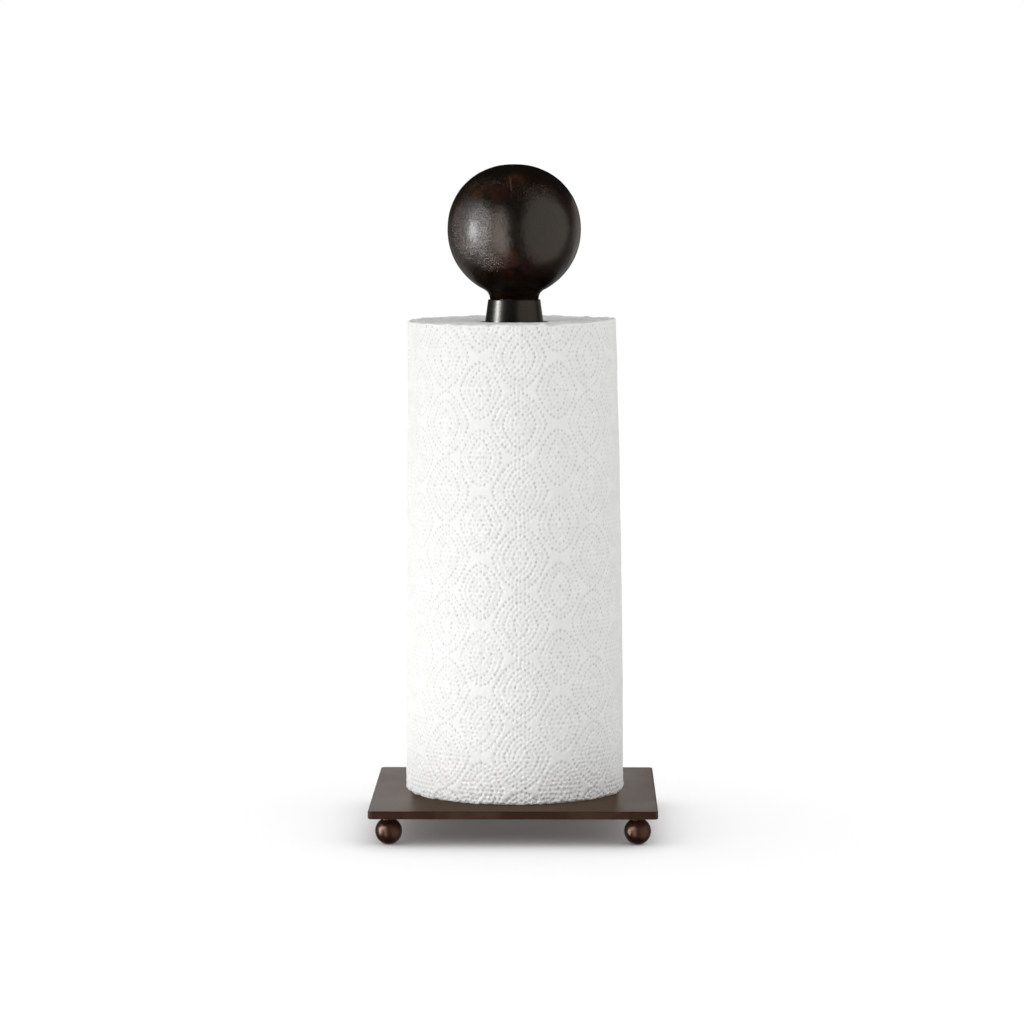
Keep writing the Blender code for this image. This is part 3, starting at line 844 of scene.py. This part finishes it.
def make_collar():
    """The tapered collar, with a soft top edge and a fine chamfer round its mouth."""
    bottom_r, top_r = COLLAR_HIGH.x, COLLAR_TOP_R
    edge, chamfer = 0.35 * MM, 0.25 * MM
    socket_r = POST_HIGH.x + 0.6 * MM
    shoulder = BUSH_LOW.z
    bore_r = BUSH_HIGH.x + 0.3 * MM
    profile = lines((socket_r, COLLAR_LOW.z), (bottom_r - chamfer, COLLAR_LOW.z), step=0.5 * MM)
    profile += lines(
        (bottom_r - chamfer, COLLAR_LOW.z),
        (bottom_r, COLLAR_LOW.z + chamfer),
        (top_r, COLLAR_HIGH.z - edge),
        step=0.35 * MM,
    )
    profile += arc((top_r - edge, COLLAR_HIGH.z - edge), edge, 0.1, pi / 2.0, 8)
    profile += lines(
        (top_r - 1.2 * edge, COLLAR_HIGH.z),
        (bore_r, COLLAR_HIGH.z),
        (bore_r, shoulder),
        (socket_r, shoulder),
        (socket_r, COLLAR_LOW.z),
        step=0.5 * MM,
    )
    obj = ring_mesh("turned_collar", turned_points(profile, around(256)), closed=True)
    obj.data.set_sharp_from_angle(angle=radians(40))
    return finish_piece(obj, gunmetal_finish(), "finial", "gunmetal", "finial_collar")


def make_stud(material):
    """The M10 stud with its real thread."""
    crest = STUD_HIGH.x
    chamfer = 1.0 * MM
    angles = around(96)
    heights = np.linspace(STUD_LOW.z, STUD_HIGH.z, 330)
    turns = heights[:, None] / THREAD_PITCH - angles[None, :] / (2.0 * pi)
    wave = np.abs((turns % 1.0) * 2.0 - 1.0)
    radius = crest - THREAD_DEPTH * soft_step(wave, 0.12, 0.88)
    from_end = np.minimum(heights - STUD_LOW.z, STUD_HIGH.z - heights)[:, None]
    radius = np.minimum(radius, crest - chamfer + from_end)
    x, y = radius * np.cos(angles), radius * np.sin(angles)
    side = np.stack(np.broadcast_arrays(x, y, heights[:, None]), axis=-1)
    low_pole = np.zeros((1, len(angles), 3)) + np.array([0.0, 0.0, STUD_LOW.z])
    high_pole = np.zeros((1, len(angles), 3)) + np.array([0.0, 0.0, STUD_HIGH.z])
    obj = ring_mesh("threaded_stud", np.concatenate([low_pole, side, high_pole]), closed=False)
    close_poles(obj)
    obj.data.set_sharp_from_angle(angle=radians(50))
    return finish_piece(obj, material, "base", "zinc_steel", "finial_stud")


# ---------------------------------------------------------------- base


FOOT_MIDDLE = 7.6 * MM
FOOT_NECK_R = 4.2 * MM
FOOT_FILLET = 0.9 * MM


def make_foot(node, material):
    """A cast ball foot with a short neck and a small flat to stand on."""
    low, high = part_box(node)
    ball_r = (high.x - low.x) / 2.0
    flat_angle = asin(FOOT_MIDDLE / ball_r)
    angle = asin((FOOT_NECK_R + FOOT_FILLET) / (ball_r + FOOT_FILLET))
    fillet_z = FOOT_MIDDLE + (ball_r + FOOT_FILLET) * cos(angle)
    profile = [(0.0, low.z)]
    profile += arc((0.0, FOOT_MIDDLE), ball_r, -flat_angle, pi / 2.0 - angle, 56)
    profile += arc((FOOT_NECK_R + FOOT_FILLET, fillet_z), FOOT_FILLET, 1.5 * pi - angle, pi, 8)[1:]
    profile += [(FOOT_NECK_R, high.z), (0.0, high.z)]
    points = turned_points(profile, around(96))
    points[..., 2] = np.clip(points[..., 2], low.z, high.z)
    place = Vector(((low.x + high.x) / 2.0, (low.y + high.y) / 2.0, 0.0))
    relief = 1.0 - 0.010 * (0.5 + 0.5 * rough_noise(points + np.array(place), 2.4 * MM, 15, 3))
    points[..., :2] *= relief[..., None]
    points[..., :2] += np.array(place.xy)
    name = node.replace("foot_ball", "cast_foot")
    obj = ring_mesh(name, points, closed=False)
    close_poles(obj, place.xy)
    return finish_piece(obj, material, "base", "bronze_foot", node)


def repaint(node, material):
    """Gives a CAD node that keeps its shape its final material."""
    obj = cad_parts[node]
    obj.data.materials.clear()
    obj.data.materials.append(material)


# ---------------------------------------------------------------- studio

CAMERA_PLACE = (0.0325, -2.285, 0.389)
CAMERA_DOWN = 0.08953
CAMERA_ROLL = 0.0012
CAMERA_TURN = 0.01475
LENS = 138.0
LOOK_AT = Vector((0.0, 0.0, 0.20))  # what the softboxes face
WHITE = (1.0, 1.0, 1.0)
WARM = (1.0, 0.86, 0.76)
GREY = (1.0, 0.91, 0.80)

FLOOR_HALF = 6.0
FLOOR_LIGHT = 2.35
FLOOR_SEEN = (0.89, 0.89, 0.89)
FLOOR_BOUNCED = (0.72, 0.72, 0.72)  # dimmer where it lights the pieces from below

# The room that the pieces mirror: its fill, and the table's glow at the back, by direction
ROOM_FILL = 0.35
ROOM_GLOSS = 0.005
TABLE_GLOSS = 0.25
TABLE_BEHIND = (0.3, 0.95)  # of the direction's Y
TABLE_LOW = (0.15, -0.25)  # of the direction's Z

# Softboxes: azimuth and elevation in degrees, distance, width and height in metres, radiance, colour, shape
MIRRORED = {
    "Key_mirrored": (-74.0, 1.0, 2.0, 0.56, 2.0, 9.3, WHITE, "ELLIPSE"),
    "Rim_mirrored": (146.0, 2.0, 2.6, 2.2, 1.3, 0.14, GREY, "ELLIPSE"),
    "Fill_left_mirrored": (-27.0, -5.0, 2.6, 1.5, 4.2, 1.3, WARM, "ELLIPSE"),
    "Fill_right_mirrored": (61.0, 2.0, 2.6, 5.4, 6.4, 0.34, GREY, "ELLIPSE"),
}
NOT_ON_COLLAR = ("Key_mirrored", "Fill_left_mirrored")
SOFT = {
    "Key_soft": (-65.0, -1.0, 2.0, 0.7, 1.2, 6.3),
    "Fill_soft": (80.0, 4.0, 2.4, 2.0, 2.0, 1.05),
}


def aim(obj, target):
    obj.rotation_euler = (target - obj.location).to_track_quat("-Z", "Y").to_euler()


def group(name, objects):
    """A collection that a light's links can name."""
    made = bpy.data.collections.new(name)
    for obj in objects:
        made.objects.link(obj)
    return made


def softbox(name, azimuth, elevation, distance, wide, high, radiance, colour=WHITE, shape="RECTANGLE"):
    """An area light, placed by degrees from the front towards +X, and up."""
    turn, lift = radians(azimuth), radians(elevation)
    away = Vector((sin(turn) * cos(lift), -cos(turn) * cos(lift), sin(lift)))
    light = bpy.data.lights.new(name, "AREA")
    light.shape = shape
    light.size, light.size_y = wide, high
    light.color = colour
    light.energy = radiance * 4.0 * wide * high
    obj = bpy.data.objects.new(name, light)
    bpy.context.collection.objects.link(obj)
    obj.location = LOOK_AT + away * distance
    obj.visible_camera = False
    aim(obj, LOOK_AT)
    return obj


def make_world():
    """White where the camera sees it, a dim fill, and a faint glow from the table at the back."""
    world = bpy.data.worlds.new("Studio")
    bpy.context.scene.world = world
    world.use_nodes = True
    nodes, link = world.node_tree.nodes, world.node_tree.links.new

    def ranged(socket, low, high, new_low=0.0, new_high=1.0):
        node = nodes.new("ShaderNodeMapRange")
        link(socket, node.inputs["Value"])
        for name, number in zip(("From Min", "From Max", "To Min", "To Max"), (low, high, new_low, new_high)):
            node.inputs[name].default_value = number
        return node.outputs["Result"]

    def choose(test, no, yes):
        node = nodes.new("ShaderNodeMix")
        link(test, node.inputs["Factor"])
        for name, value in (("A", no), ("B", yes)):
            if isinstance(value, bpy.types.NodeSocket):
                link(value, node.inputs[name])
            else:
                node.inputs[name].default_value = value
        return node.outputs["Result"]

    split = nodes.new("ShaderNodeSeparateXYZ")
    link(nodes.new("ShaderNodeTexCoord").outputs["Generated"], split.inputs[0])
    table = nodes.new("ShaderNodeMath")
    table.operation = "MULTIPLY"
    link(ranged(split.outputs["Y"], *TABLE_BEHIND), table.inputs[0])
    link(ranged(split.outputs["Z"], *TABLE_LOW), table.inputs[1])
    glossy = ranged(table.outputs[0], 0.0, 1.0, ROOM_GLOSS, TABLE_GLOSS)
    path = nodes.new("ShaderNodeLightPath")
    strength = choose(path.outputs["Is Glossy Ray"], ROOM_FILL, glossy)
    strength = choose(path.outputs["Is Camera Ray"], strength, 1.0)
    background = nodes["Background"]
    link(strength, background.inputs["Strength"])
    background.inputs["Color"].default_value = (1.0, 1.0, 1.0, 1.0)


def make_floor():
    """A wide pale floor with its own overhead light, so that it reads as white with a soft shadow."""
    mesh = bmesh.new()
    bmesh.ops.create_grid(mesh, x_segments=8, y_segments=8, size=FLOOR_HALF)
    data = bpy.data.meshes.new("Floor")
    mesh.to_mesh(data)
    mesh.free()
    floor = bpy.data.objects.new("Floor", data)
    bpy.context.collection.objects.link(floor)
    made = Finish("Floor_white", Roughness=1.0, Specular_IOR_Level=0.0, Emission_Strength=0.07)
    made.shade("Emission Color", (1.0, 1.0, 1.0, 1.0))
    bounced = made.add("ShaderNodeLightPath").outputs["Is Diffuse Ray"]
    made.shade("Base Color", made.blend(bounced, FLOOR_SEEN, FLOOR_BOUNCED))
    data.materials.append(made.material)
    floor.visible_glossy = False
    light = bpy.data.lights.new("Floor_light", "SUN")
    light.angle = radians(160)
    light.energy = FLOOR_LIGHT
    overhead = bpy.data.objects.new("Floor_light", light)
    overhead.rotation_euler.x = radians(-12)
    bpy.context.collection.objects.link(overhead)
    overhead.light_linking.receiver_collection = group("Lit_floor", [floor])
    return floor


def all_but(name, obj):
    """A collection that stands for everything except the object, in a light's links."""
    made = group(name, [obj])
    made.collection_objects[0].light_linking.link_state = "EXCLUDE"
    return made


def sheen(name, pieces, *settings):
    """A softbox that only these pieces mirror."""
    box = softbox(name, *settings)
    box.visible_diffuse = False
    box.light_linking.receiver_collection = group(name + "_pieces", pieces)


def make_lights(floor, towel, ball, collar, feet):
    """Softboxes: their mirror images in the lacquer, and the softer light that they give, are set apart."""
    not_floor = all_but("Lit_but_floor", floor)
    not_collar = all_but("Lit_but_collar", collar)
    not_ball = all_but("Shading_but_ball", ball)
    for name, settings in MIRRORED.items():
        box = softbox(name, *settings)
        box.visible_diffuse = False
        if name in NOT_ON_COLLAR:
            box.light_linking.receiver_collection = not_collar
    for name, settings in SOFT.items():
        box = softbox(name, *settings)
        box.visible_glossy = False
        box.light_linking.receiver_collection = not_floor
        box.light_linking.blocker_collection = not_ball
    only_towel = group("Lit_towel", [towel])
    low = softbox("Low_soft", -62.0, -29.0, 0.37, 0.5, 0.06, 2.6)
    low.visible_glossy = False
    low.light_linking.receiver_collection = only_towel
    top = softbox("Top_soft", 0.0, 60.0, 2.2, 1.8, 1.8, 1.7)
    top.visible_glossy = False
    top.light_linking.receiver_collection = only_towel
    top.light_linking.blocker_collection = only_towel
    sheen("Collar_sheen", [collar], -74.0, 1.0, 2.1, 0.60, 2.0, 17.5)
    sheen("Plate_sheen", [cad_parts["base_plate"]], -160.0, 10.0, 2.5, 2.2, 1.4, 0.65, (1.0, 0.99, 0.97))
    sheen("Foot_sheen", feet, -53.0, 28.0, 2.0, 0.8, 0.8, 10.5)
    make_world()


def make_reflection_card(towel):
    """A dark card inside the roll, which the glossy pieces mirror in place of the paper: painted shade, whose
    lower part glows as a painted reflection of the lit paper.
    """
    towel.visible_glossy = False
    inside = 3.0 * MM
    hole_r, low_r, high_r = ROLL_HOLE_R + inside, ROLL_BOTTOM_R - inside, ROLL_TOP_R - inside
    low, high = ROLL_LOW.z + 0.4 * MM, ROLL_HIGH.z - inside
    corners = ((hole_r, low), (low_r, low), (high_r, high), (hole_r, high), (hole_r, low))
    points = turned_points(lines(*corners, step=10.0 * MM), around(48))
    card = ring_mesh("Reflection_card", points, closed=True)
    made = Finish("Painted_reflection_card", Base_Color=(0.0, 0.0, 0.0, 1.0), Specular_IOR_Level=0.0)
    made.shade("Emission Color", (1.0, 0.86, 0.72, 1.0))
    place = made.add("ShaderNodeSeparateXYZ")
    made.set(place.inputs[0], made.place)
    # Painted reflection: the card glows near its foot, where the plate mirrors the lit lower part of the
    # paper.
    glow = made.spread(place.outputs["Z"], low + 12.0 * MM, low + 40.0 * MM, 0.16, 0.0)
    made.shade("Emission Strength", glow)
    card.data.materials.append(made.material)


def make_camera():
    """A long lens in front, a little above, looking slightly down."""
    data = bpy.data.cameras.new("Camera")
    data.sensor_width = 36.0
    data.lens = LENS
    data.clip_start, data.clip_end = 0.05, 50.0
    camera = bpy.data.objects.new("Camera", data)
    bpy.context.collection.objects.link(camera)
    camera.location = CAMERA_PLACE
    camera.rotation_euler = (pi / 2.0 - CAMERA_DOWN, CAMERA_ROLL, CAMERA_TURN)
    bpy.context.scene.camera = camera


# ---------------------------------------------------------------- everything


def main():
    dark_steel = steel_finish("Dark_steel", (0.13, 0.13, 0.135), (0.07, 0.07, 0.073), 0.36, 0.5, 0.8)
    zinc = steel_finish("Zinc_steel", (0.66, 0.66, 0.63), (0.50, 0.50, 0.48), 0.26, 0.4, 1.0)
    cast = foot_finish()
    towel = make_roll()
    make_core()
    ball = make_ball()
    collar = make_collar()
    make_stud(zinc)
    feet = []
    for side in ("front_left", "front_right", "back_left", "back_right"):
        feet.append(make_foot("foot_ball_" + side, cast))
        repaint("foot_stud_" + side, zinc)
    repaint("base_plate", plate_finish())
    repaint("post_tube", dark_steel)
    repaint("post_bottom_plug", dark_steel)
    repaint("post_top_plug", dark_steel)
    repaint("finial_bush", dark_steel)
    repaint("post_screw", zinc)
    repaint("flat_washer", zinc)
    repaint("lock_washer", zinc)
    repaint("thrust_washer", nylon_finish())
    bpy.context.scene.view_settings.view_transform = "Standard"
    make_camera()
    make_lights(make_floor(), towel, ball, collar, feet)
    make_reflection_card(towel)


main()
